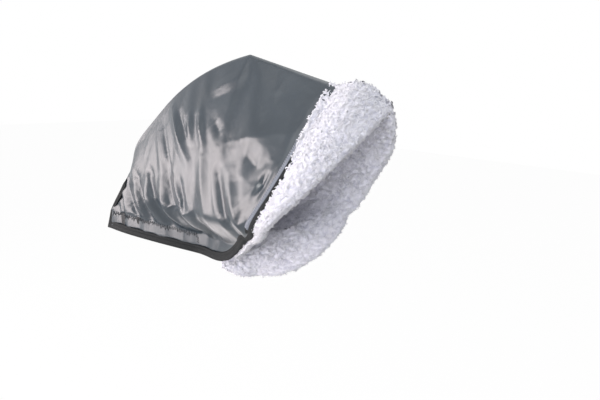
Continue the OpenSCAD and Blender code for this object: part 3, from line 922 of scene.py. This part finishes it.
def fleece_grid(side):
    """Front and back grids of the fleece, and the cells that are cloth."""
    stretches = [(0, 1, 112), (1, 2, 34), (2, 3, 30)] + ([(3, 6, 44)] if side == "right" else [])
    v = np.concatenate([[0]] + [np.linspace(*stretch)[1:] for stretch in stretches])
    mouth = 1 + np.linspace(0, LIP_Q - 1, 7)[1:]
    q = np.concatenate([np.linspace(0.01, 0.4, 30)[:-1], np.linspace(0.4, 1, 96), mouth])
    u = np.linspace(0, RIM_END, 42)[1:]
    turn = np.sin(np.linspace(-np.pi/2, np.pi/2, 13))[None, 1:-1]
    rows = v[:, None]
    lining = lining_face(q[None, :], np.minimum(rows, 3))
    back_level = mix(SHELL_IN, lining_level(q[None, :]), BACK_SHARE)
    lining_back = wall(q[None, :], np.minimum(rows, 3), back_level)
    lining_back[..., 1] = np.maximum(lining_back[..., 1], lining[..., 1] + FLEECE_LEAST_T)
    cover = BINDING_COVER*binding_cover(rows)/CUFF_TOP_W
    cuff_in = cuff_face(rows, u[None, :], -1, side)
    rim = cuff_face(rows, RIM_END, turn, side, np.sqrt(1 - turn**2))
    outward = mix(-cover, RIM_END, np.linspace(1, 0, 42)[None, :])
    cuff_out = cuff_face(rows, outward, 1, side)
    front = np.concatenate([lining, cuff_in, rim, cuff_out], 1)
    back = np.concatenate([lining_back,
        cuff_face(rows, BACK_RUN*u[None, :], -BACK_FACE, side),
        cuff_face(rows, BACK_RUN*RIM_END, BACK_FACE*turn, side),
        cuff_face(rows, BACK_RUN*outward, BACK_FACE, side)], 1)
    lining_cells = np.arange(front.shape[1] - 1) < len(q) - 1
    middle_v = (v[1:] + v[:-1])[:, None]/2
    middle_q = np.concatenate([(q[1:] + q[:-1])/2, np.ones(front.shape[1] - len(q))])[None, :]
    at_tape = (middle_v > 2) & (middle_q < TAPE_Q)
    keep = ~(lining_cells[None, :] & (at_tape | (middle_v > 3) | (middle_v < LINING_TOP)))
    return front, back, keep, len(q)


def pile_height(points, salt):
    """Height of the pile from 0 to 1: large and small knots on a slow swell."""
    large = knots(points, KNOT_CELL, salt)
    small = knots(points, KNOT_CELL*SMALL_KNOT, salt + 5)
    swell = 0.5 + 0.5*drift(points, SWELL_KNOTS*KNOT_CELL, salt + 9)
    return LARGE_PILE*large + SMALL_PILE*small + SWELL_PILE*swell


def grid_normals(points):
    down = np.gradient(points, axis=0)
    across = np.gradient(points, axis=1)
    return unit(np.cross(across, down))


TUFTS = 5400
TUFT_RINGS = 5
TUFT_ROOT = 0.8*MM
# A curl's spread from the normal, its length and radius in millimetres, and its turn at each ring
TUFT_SPREAD = 0.6
TUFT_LENGTHS = (2.6, 4.8)
TUFT_RADII = (0.42, 0.7)
TUFT_TURNS = (0.5, 1.1)
TUFT_TAPER = np.array((1, 1.05, 1, 0.8, 0.4))
# Pile value that sets the curls' colour: near the knots' tops, so the painted hollow shade stays light on
# them.
TUFT_PILE = 0.9
PILE_MIDDLE = 0.35
MOUTH_TUFTS_FROM = 0.45
PILE_SALTS = {"left": 7, "right": 31}
TUFT_SEEDS = {"left": 5, "right": 9}
CURL_SOFTNESS = 0.65


def curls(name, roots, normals, draw):
    """Short fat curls that stand on the pile."""
    count = len(roots)
    heading = unit(normals + TUFT_SPREAD*draw.normal(size=(count, 3)))
    bend = unit(np.cross(heading, draw.normal(size=(count, 3))))
    length = draw.uniform(*TUFT_LENGTHS, (count, 1))*MM
    points = [roots - TUFT_ROOT*normals]
    for _ in range(TUFT_RINGS - 1):
        points.append(points[-1] + heading*length/(TUFT_RINGS - 1))
        angle = draw.uniform(*TUFT_TURNS, (count, 1))
        cos, sin = np.cos(angle), np.sin(angle)
        heading, bend = heading*cos + bend*sin, bend*cos - heading*sin
    radii = draw.uniform(*TUFT_RADII, (count, 1))*TUFT_TAPER*MM
    piece = tubes_piece(name, np.stack(points, 1), radii, 4)
    own = np.array([v.normal for v in piece.data.vertices]).reshape(count, -1, 3)
    soft = unit(mix(own, normals[:, None], CURL_SOFTNESS))
    piece.data.normals_split_custom_set_from_vertices(soft.reshape(-1, 3).tolist())
    return piece


def tuft_piece(name, side, roots, normals, cells, draw):
    """Tufts spread evenly over some cells of the fleece."""
    r, c = cells
    size = np.linalg.norm(np.cross(roots[r + 1, c] - roots[r, c], roots[r, c + 1] - roots[r, c]), axis=-1)
    pick = draw.choice(len(r), TUFTS, p=size/size.sum())
    r, c = r[pick], c[pick]
    place = draw.uniform(size=(2, TUFTS, 1))
    down, across = roots[r + 1, c] - roots[r, c], roots[r, c + 1] - roots[r, c]
    spots = roots[r, c] + place[0]*down + place[1]*across
    tufts = curls(name, placed(spots, side), placed(normals[r, c], side), draw)
    # The curls take a pile value near the tops, so they get little of the painted hollow shade.
    add_attribute(tufts, "pile", np.full(len(tufts.data.vertices), TUFT_PILE))
    across_fold(tufts, FLEECE)
    return tufts


def fleece(side):
    """The lining and cuff as one sheet, with its tufts."""
    front, back, keep, lining_cols = fleece_grid(side)
    normals = grid_normals(front)
    inward = normals[:, lining_cols//2, 1].mean() > 0
    normals = -normals if inward else normals
    height = pile_height(placed(front, side), PILE_SALTS[side])
    raised = front + normals*((height - PILE_MIDDLE)*PILE_H)[..., None]
    raised[..., 1] = np.maximum(raised[..., 1], HALF_GAP)
    points = np.concatenate([placed(raised, side).reshape(-1, 3), placed(back, side).reshape(-1, 3)])
    faces = closed_faces(keep)
    faces = faces if inward else faces[:, ::-1]
    cloth, used = mesh_piece(f"{side}_fleece", points, faces[:, ::-1], side)
    # The pile's height, with 0 on the back, sets the fleece's colour: painted shade in the hollows and on
    # the back.
    add_attribute(cloth, "pile", np.concatenate([height.ravel(), 0*height.ravel()])[used])
    across_fold(cloth, FLEECE)
    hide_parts(f"{side}_lining", f"{side}_flap_lining", f"{side}_cuff", f"{side}_flap_cuff")

    draw = np.random.default_rng(TUFT_SEEDS[side])
    r, c = np.nonzero(keep)
    on_cuff = c >= lining_cols
    in_mouth = (c > lining_cols*MOUTH_TUFTS_FROM) & ~on_cuff
    tufts = [tuft_piece(f"{side}_{place}_tufts", side, raised, normals, (r[shown], c[shown]), draw)
        for place, shown in (("cuff", on_cuff), ("mouth", in_mouth))]


# Binding: one ribbed tape per side, from the front edge round the hem and up the mouth edge
RIB_PITCH = 2.3*MM
RIB_H = 0.12*MM
BINDING_STEP = 0.42*MM
BINDING_TOP = 0.012
FRONT_TOP = 0.1
PALE_SHARE = 0.5
PALE_FULL = 0.95
PALE_END = 1.3
# Tones for the colour: a rib top's tone in the dark tape and a groove's tone in the pale half. The darker
# grooves are painted shade.
DARK_RIB = 0.3
PALE_TONE = 0.65
RIBBED_FROM = 0.7
REAR_HALF = 0.5
# Profile as (share from the inner line to the edge and past it along the lip, height over the shell)
BINDING_PROFILE = (
    (0.0, 0.0), (0.0, 0.5), (0.06, 1.1), (0.16, 1.45), (0.28, 1.5), (0.4, 1.25), (0.48, 0.8), (0.56, 1.05),
    (0.7, 1.4), (0.86, 1.45), (1.0, 1.2), (1.08, 0.8), (1.13, 0.1), (1.13, -1.0), (1.08, -1.6), (1.0, -1.6),
    (1.0, 0.0),
)


def run_length(points):
    """Length along a line of points, at each point."""
    return np.concatenate([[0], np.cumsum(np.linalg.norm(np.diff(points, axis=0), axis=-1))])


def spaced(points, step):
    """Length along a line of points, and even steps of that length."""
    length = run_length(points)
    return length, np.arange(0, length[-1], step)


def even_line(corners, count):
    """Points (q, t) at even steps of length along straight legs between corners."""
    fine = np.concatenate([np.linspace(a, b, 200) for a, b in zip(corners, corners[1:])])
    length = run_length(wall(fine[:, 0], fine[:, 1], SHELL_OUT))
    places = np.linspace(0, length[-1], count)
    return np.stack([np.interp(places, length, fine[:, k]) for k in range(2)], -1)


PLACE_STEPS = 8
PLACE_NUDGE = 1e-4
PLACE_REACH = 80*MM
WALL_RUN = FOLD_REAR_X - BINDING_W - FOLD_FRONT_X


def from_mouth(s):
    """q at a distance past the binding's line, where negative distances lie in front of it."""
    return 1 + np.where(s < 0, s/WALL_RUN, s)


def side_view(s, t):
    return wall(from_mouth(s), t, SHELL_OUT)[..., ::2]


def places_at(points):
    """Places (q, t) of the wall's rear half that lie at points (x, z) of the side view."""
    nets = np.meshgrid(np.linspace(-PLACE_REACH, BINDING_W, 60), np.linspace(0, 3, 120))
    s, t = (net.ravel() for net in nets)
    nearest = np.argmin(np.linalg.norm(points[:, None] - side_view(s, t), axis=-1), 1)
    s, t = s[nearest], t[nearest]
    for _ in range(PLACE_STEPS):
        by_s = (side_view(s + PLACE_NUDGE, t) - side_view(s - PLACE_NUDGE, t))/(2*PLACE_NUDGE)
        by_t = (side_view(s, t + PLACE_NUDGE) - side_view(s, t - PLACE_NUDGE))/(2*PLACE_NUDGE)
        miss = points - side_view(s, t)
        area = np.cross(by_s, by_t)
        s = s + np.cross(miss, by_t)/area
        t = np.clip(t + np.cross(by_s, miss)/area, 0, 3)
    return np.stack([from_mouth(s), t], -1)


def inset_line(edge, width):
    """Places (q, t) a width inside a line along the hem and up the mouth."""
    line = wall(edge[:, 0], edge[:, 1], SHELL_OUT)
    along = unit(np.gradient(line[:, ::2], axis=0))
    inward = np.stack([-along[:, 1], along[:, 0]], -1)
    reach = np.full((len(edge), 1), width)
    for _ in range(2):
        places = places_at(line[:, ::2] + inward*reach)
        gap = np.linalg.norm(wall(places[:, 0], places[:, 1], SHELL_OUT) - line, axis=-1, keepdims=True)
        reach = reach*width/gap
    return places


def edge_route():
    """Inner line and outer edge of the binding as rows of (inner q, inner t, edge q, edge t)."""
    bend = 1.4
    front_legs = (
        (((BAND_Q/5, FRONT_TOP), (BAND_Q, bend), (BAND_Q, BAND_T)),
            ((0, FRONT_TOP), (0, bend), (0, BAND_T)), 100),
        (((BAND_Q, BAND_T), (BAND_Q, BAND_T)), ((0, BAND_T), (0, 3), (BAND_Q, 3)), 24),
        (((BAND_Q, BAND_T), (TAPE_Q, BAND_T)), ((BAND_Q, 3), (TAPE_Q, 3)), 200),
    )
    rows = [np.concatenate([even_line(inner, count), even_line(edge, count)], 1)
        for inner, edge, count in front_legs]
    mouth_edge = even_line(((TAPE_Q, 3), (MOUTH_Q, 3), (MOUTH_Q, 1), (MOUTH_Q, BINDING_TOP)), 500)
    rows.append(np.concatenate([inset_line(mouth_edge, BINDING_W), mouth_edge], 1))
    return np.concatenate(rows)


ROUTE = edge_route()


def binding_route(step):
    """The route at even steps of length, and the length at each step."""
    middle = (wall(ROUTE[:, 0], ROUTE[:, 1], SHELL_OUT) + wall(ROUTE[:, 2], ROUTE[:, 3], SHELL_OUT))/2
    length, places = spaced(middle, step)
    return np.stack([np.interp(places, length, column) for column in ROUTE.T], -1), places


def on_binding(route, share, level):
    """Points at a share of the way from the binding's inner line to its edge."""
    inner = wall(route[:, 0], route[:, 1], level)
    edge = wall(route[:, 2], route[:, 3], level)
    return mix(inner, edge, np.broadcast_to(share, len(route))[:, None])


def binding(side):
    """The tape as one ring along its route, pale in its sewn inner half up the mouth."""
    route, places = binding_route(BINDING_STEP)
    rib = 0.5 + 0.5*np.cos(2*np.pi*places/RIB_PITCH)
    pale = smooth(PALE_END, PALE_FULL, route[:, 3])*(route[:, 2] > REAR_HALF)
    ring = []
    tone = []
    for share, height in BINDING_PROFILE:
        level = SHELL_OUT + height*MM + (RIB_H*rib if height > RIBBED_FROM else 0)
        ring.append(on_binding(route, share, level))
        paleness = pale if share < PALE_SHARE else 0
        # The tone falls in the grooves between ribs as painted shade, on the dark tape and the pale half
        # alike.
        tone.append(mix(DARK_RIB*rib, mix(PALE_TONE, 1, rib), paleness))
    rings = placed(np.stack(ring, 1), side)[None]
    tape = ring_piece(f"{side}_binding", rings, side == "left", math.radians(50))
    add_attribute(tape, "tone", np.stack(tone, 1).ravel())
    across_fold(tape, BINDING)
    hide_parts(f"{side}_mouth_binding", f"{side}_flap_binding")


STITCH_R = 0.34*MM
STITCH_STAND = 0.6
EDGE_STITCH = 2.3*MM
STITCH_POINTS = 10
EDGE_STITCH_IN = -0.04
EDGE_STITCH_OUT = 0.5
EDGE_STITCH_POINT = 6
EDGE_STITCH_LOW = 1.15


def edge_stitching(side):
    """Dense zigzag that sews the binding's inner half to the shell along the mouth."""
    route, places = binding_route(EDGE_STITCH/STITCH_POINTS)
    sewn = (route[:, 3] < EDGE_STITCH_LOW) & (route[:, 2] > REAR_HALF)
    route, phase = route[sewn], places[sewn]/EDGE_STITCH
    outline = np.array(BINDING_PROFILE[1:EDGE_STITCH_POINT + 1])
    share = mix(EDGE_STITCH_IN, EDGE_STITCH_OUT, np.abs(2*(phase - np.floor(phase + 0.5))))
    rise = np.interp(share, [EDGE_STITCH_IN, *outline[:, 0]], [0, *outline[:, 1]])
    path = on_binding(route, share, SHELL_OUT + rise*MM + RIB_H + STITCH_STAND*STITCH_R)
    thread = tubes_piece(f"{side}_edge_stitching", placed(path, side)[None], STITCH_R)
    across_fold(thread, EDGE_THREAD)
    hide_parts(f"{side}_mouth_stitching")


TAPE_STITCH = 3.2*MM
TAPE_STITCH_W = 5*MM
TAPE_STITCH_R = 0.32*MM
TAPE_STITCH_SLANT = 1.1*MM
TAPE_STITCH_DROPS = 6
TAPE_STITCH_X_STRAY = 0.5
TAPE_STITCH_Z_STRAY = 0.3
TAPE_STITCH_DEPTHS = (0.6, 1.3)
TAPE_STITCH_SEEDS = {"left": 2, "right": 3}


def tape_stitching(side, tape):
    """Zigzag along the tape's top edge and down its rear end, on the outside of the flap."""
    draw = np.random.default_rng(TAPE_STITCH_SEEDS[side])
    first_x = TAPE_FRONT + TAPE_STITCH_W
    last_x = TAPE_REAR - TAPE_STITCH_W/2
    count = round((last_x - first_x)/(TAPE_STITCH/2))
    low = np.arange(count)%2 == 0
    x = np.linspace(first_x, last_x, count)
    x = x + draw.uniform(-TAPE_STITCH_X_STRAY, TAPE_STITCH_X_STRAY, count)*MM - TAPE_STITCH_SLANT*low
    z = TAPE_H - TAPE_STITCH_W*low*draw.uniform(*TAPE_STITCH_DEPTHS, count)
    z = z + draw.uniform(-TAPE_STITCH_Z_STRAY, TAPE_STITCH_Z_STRAY, count)*MM
    down_x = last_x + np.where(np.arange(TAPE_STITCH_DROPS)%2 == 1, 1, -1)*TAPE_STITCH_W/4
    lowest = BINDING_W - HEM_DROP + TAPE_STITCH_W/2
    down_z = np.linspace(TAPE_H - TAPE_STITCH_W, lowest, TAPE_STITCH_DROPS)
    x = np.concatenate([x, down_x])
    z = np.concatenate([z, down_z])
    fine = np.linspace(0, len(x) - 1, 4*len(x))
    x = np.interp(fine, np.arange(len(x)), x)
    z = np.interp(fine, np.arange(len(z)), z)
    t = 2 + (TAPE_H - z)/STRIP_H
    points = shell_point(hem_q(x), t, side)
    points[..., 1] += STITCH_STAND*TAPE_STITCH_R
    thread = tubes_piece(f"{tape}_zigzag", placed(points, side)[None], TAPE_STITCH_R)
    thread.data.materials.append(TAPE_THREAD)
    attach(thread, f"{side}_flap")
    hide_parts(f"{tape}_stitching")


TAPE_BASE = 1.1*MM
HOOK_STEP = 2.4*MM
HOOK_R = 0.14*MM
# A hook's path as (offset along the tape's height, level) in millimetres
HOOK_PATH = np.array(((0, 1.2), (0, 0.7), (0.15, 0.35), (0.5, 0.2), (0.85, 0.35), (0.9, 0.6)))*MM
LOOPS = 1500
LOOP_R = 0.09*MM
LOOP_SEED = 8
# A loop's path as (offset along the tape, level) in millimetres
LOOP_PATH = np.array(
    ((-0.8, 1.2), (-0.75, 0.7), (-0.4, 0.3), (0, 0.2), (0.4, 0.3), (0.75, 0.7), (0.8, 1.2)))*MM


def on_tape(x, z, level):
    """Points of the tape at x and z, on a level over the closing plane."""
    return wall(hem_q(x), 2 + (TAPE_H - z)/STRIP_H, level)


def sewn_in(piece, side, material):
    """A piece of a tape, which moves with its flap."""
    piece.data.materials.append(material)
    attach(piece, f"{side}_flap")


def woven_base(side, tape, material):
    """The tape's woven band, against the inside of the shell."""
    x = np.linspace(TAPE_FRONT, TAPE_REAR, 150)[None, :]
    z = np.linspace(TAPE_H, 0, 10)[:, None]
    faces = [on_tape(x, z, level) for level in (SHELL_IN, SHELL_IN - TAPE_BASE)]
    points = np.concatenate([placed(face, side).reshape(-1, 3) for face in faces])
    keep = np.ones((z.size - 1, x.size - 1), bool)
    band, _ = mesh_piece(f"{tape}_base", points, closed_faces(keep), side, math.radians(40))
    sewn_in(band, side, material)
    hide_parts(tape)


def hook_field(side, tape, material):
    """Rows of small hooks, turned up and down by turns."""
    x = np.arange(TAPE_FRONT + HOOK_STEP, TAPE_REAR - HOOK_STEP, HOOK_STEP)
    z = np.arange(HOOK_STEP, TAPE_H - HOOK_STEP/2, HOOK_STEP)
    x, z = (grid.ravel()[:, None] for grid in np.meshgrid(x, z))
    turn = np.where(np.round(x/HOOK_STEP)%2 == 0, 1, -1)
    paths = on_tape(x, z + turn*HOOK_PATH[:, 0], HOOK_PATH[:, 1])
    hooks = tubes_piece(f"{tape}_hooks", placed(paths, side), HOOK_R, 4)
    sewn_in(hooks, side, material)


def loop_field(side, tape, material):
    """Soft loops that stand in all directions."""
    draw = np.random.default_rng(LOOP_SEED)
    x = draw.uniform(TAPE_FRONT + MM, TAPE_REAR - MM, (LOOPS, 1))
    z = draw.uniform(1*MM, TAPE_H - MM, (LOOPS, 1))
    turn = draw.uniform(0, np.pi, (LOOPS, 1))
    offset, level = LOOP_PATH.T
    paths = on_tape(x + np.cos(turn)*offset, z + np.sin(turn)*offset, level)
    loops = tubes_piece(f"{tape}_loops", placed(paths, side), LOOP_R, 3)
    sewn_in(loops, side, material)


CROWN_STITCH = 3.2*MM
CROWN_STITCH_START = 0.18
CROWN_STITCH_END = 0.99
CROWN_STITCH_R = 0.22*MM
CROWN_STITCH_ROW = SEAM_SHARE*0.7
# One stitch: shares of its length, and heights over the shell
STITCH_SHARES = np.array((0.06, 0.25, 0.5, 0.75, 0.94))
STITCH_RISE = np.array((-0.3, 0.12, 0.18, 0.12, -0.3))*MM


def crown_seam():
    """Lockstitches of the crown's seam, on both sides."""
    rows = np.linspace(CROWN_STITCH_START, CROWN_STITCH_END, 500)
    length, places = spaced(wall(rows, CROWN_STITCH_ROW, SHELL_OUT), CROWN_STITCH)
    q = np.interp(places[:-1, None] + CROWN_STITCH*STITCH_SHARES, length, rows)
    paths = [placed(wall(q, CROWN_STITCH_ROW, SHELL_OUT + STITCH_RISE), side) for side in SIDES]
    thread = tubes_piece("crown_seam_stitches", np.concatenate(paths), CROWN_STITCH_R)
    thread.data.materials.append(TAPE_THREAD)
    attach(thread, "pouch")
    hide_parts("crown_seam_thread")


CAMERA_PLACE = (0.5231, -0.4828, 0.1999)
CAMERA_SENSOR = 36
CAMERA_LENS = 34.98
CAMERA_DOWN = math.radians(9.7)
CAMERA_TURN = math.radians(33)
CAMERA_LEAN = math.radians(-4.4)
LIGHT_AIM = np.array((0.12, -0.04, 0.10))
LIGHT_REACH = 1.2
CORNER_LIGHT_REACH = 0.5
WARM = (1, 0.9, 0.89)
WHITE = (1, 1, 1)
# Soft boxes round the muff as (name, azimuth, elevation, size, power, colour, distance)
LIGHTS = (
    ("front_softbox", 73, 4, (0.56, 0.46), 3.5, WARM, LIGHT_REACH),
    ("side_softbox", 45, -3, (0.84, 0.98), 15.6, WARM, LIGHT_REACH),
    ("hem_softbox", 25, -12, (0.42, 0.3), 2.6, WARM, LIGHT_REACH),
    ("corner_softbox", 112, -46, (0.2, 0.2), 0.28, WARM, CORNER_LIGHT_REACH),
    ("mouth_key", -33, 21, (0.3, 0.3), 6.5, WHITE, LIGHT_REACH),
    ("high_fill", 0, 48, (0.9, 0.9), 3.2, WHITE, LIGHT_REACH),
    ("back_fill", 180, 60, (1.2, 1.2), 6, WHITE, LIGHT_REACH),
)
AMBIENT = 0.41
FLOOR_Z = -0.34
FLOOR_REACH = 4
FLOOR_GLOW = 0.97


def camera_and_light():
    scene = bpy.context.scene
    scene.view_settings.view_transform = "Standard"

    camera_data = bpy.data.cameras.new("camera")
    camera_data.sensor_width = CAMERA_SENSOR
    camera_data.lens = CAMERA_LENS
    camera = bpy.data.objects.new("camera", camera_data)
    turn = Euler((math.pi/2 - CAMERA_DOWN, 0, CAMERA_TURN)).to_matrix().to_4x4()
    lean = Matrix.Rotation(CAMERA_LEAN, 4, "Y")
    camera.matrix_world = Matrix.Translation(CAMERA_PLACE) @ lean @ turn
    scene.collection.objects.link(camera)
    scene.camera = camera

    for light in LIGHTS:
        soft_light(*light)
    white_studio(scene)
    pale_floor()


def soft_light(name, azimuth, elevation, size, power, colour, reach):
    """Soft box that the camera doesn't see: azimuth 0 on the left side's middle, 90 in front."""
    turn = math.radians(azimuth)
    rise = math.radians(elevation)
    level = math.cos(rise)
    way = np.array((-math.sin(turn)*level, -math.cos(turn)*level, math.sin(rise)))
    data = bpy.data.lights.new(name, "AREA")
    data.shape = "RECTANGLE"
    data.size, data.size_y = size
    data.energy = power
    data.color = colour
    lamp = bpy.data.objects.new(name, data)
    lamp.matrix_world = Matrix.Translation(LIGHT_AIM + reach*way) @ look_along(-way)
    lamp.visible_camera = False
    bpy.context.scene.collection.objects.link(lamp)


def look_along(way):
    """Rotation that turns -Z to a direction, with +Y as near to up as it can be."""
    back = -unit(np.asarray(way, float))
    right = unit(np.cross((0, 0, 1), back))
    up = np.cross(back, right)
    return Matrix(np.stack([right, up, back], 1).tolist()).to_4x4()


def white_studio(scene):
    """A white surround whose light on the muff is weaker than its look."""
    world = bpy.data.worlds.new("white_studio")
    world.use_nodes = True
    scene.world = world
    sky = Nodes(world.node_tree)
    shown = world.node_tree.nodes["Background"]
    sky.feed(shown.inputs["Color"], (*WHITE, 1))
    sky.feed(shown.inputs["Strength"], AMBIENT + (1 - AMBIENT)*sky.seen_directly())


def pale_floor():
    """A floor that looks almost white and keeps the muff's shadow."""
    corners = [(x*FLOOR_REACH, y*FLOOR_REACH, FLOOR_Z) for x, y in ((-1, -1), (1, -1), (1, 1), (-1, 1))]
    floor = new_piece("floor", corners, [(0, 1, 2, 3)])
    finish = Finish("pale_floor")
    finish.set(Base_Color=(0.9, 0.9, 0.9, 1), Roughness=0.9)
    surface = finish.node("ShaderNodeMixShader", {}, {
        0: FLOOR_GLOW*finish.seen_directly(),
        1: Signal(finish, finish.shader.outputs[0]),
        2: finish.node("ShaderNodeEmission", {}, {}),
    })
    finish.feed(finish.tree.nodes["Material Output"].inputs["Surface"], surface)
    floor.data.materials.append(finish.material)


camera_and_light()
for side in SIDES:
    shell_panel(side)
    fleece(side)
    binding(side)
    edge_stitching(side)
for side, tape, material, field in (("left", "hook_tape", HOOK_TAPE, hook_field),
        ("right", "loop_tape", LOOP_TAPE, loop_field)):
    woven_base(side, tape, material)
    field(side, tape, material)
    tape_stitching(side, tape)
crown_seam()
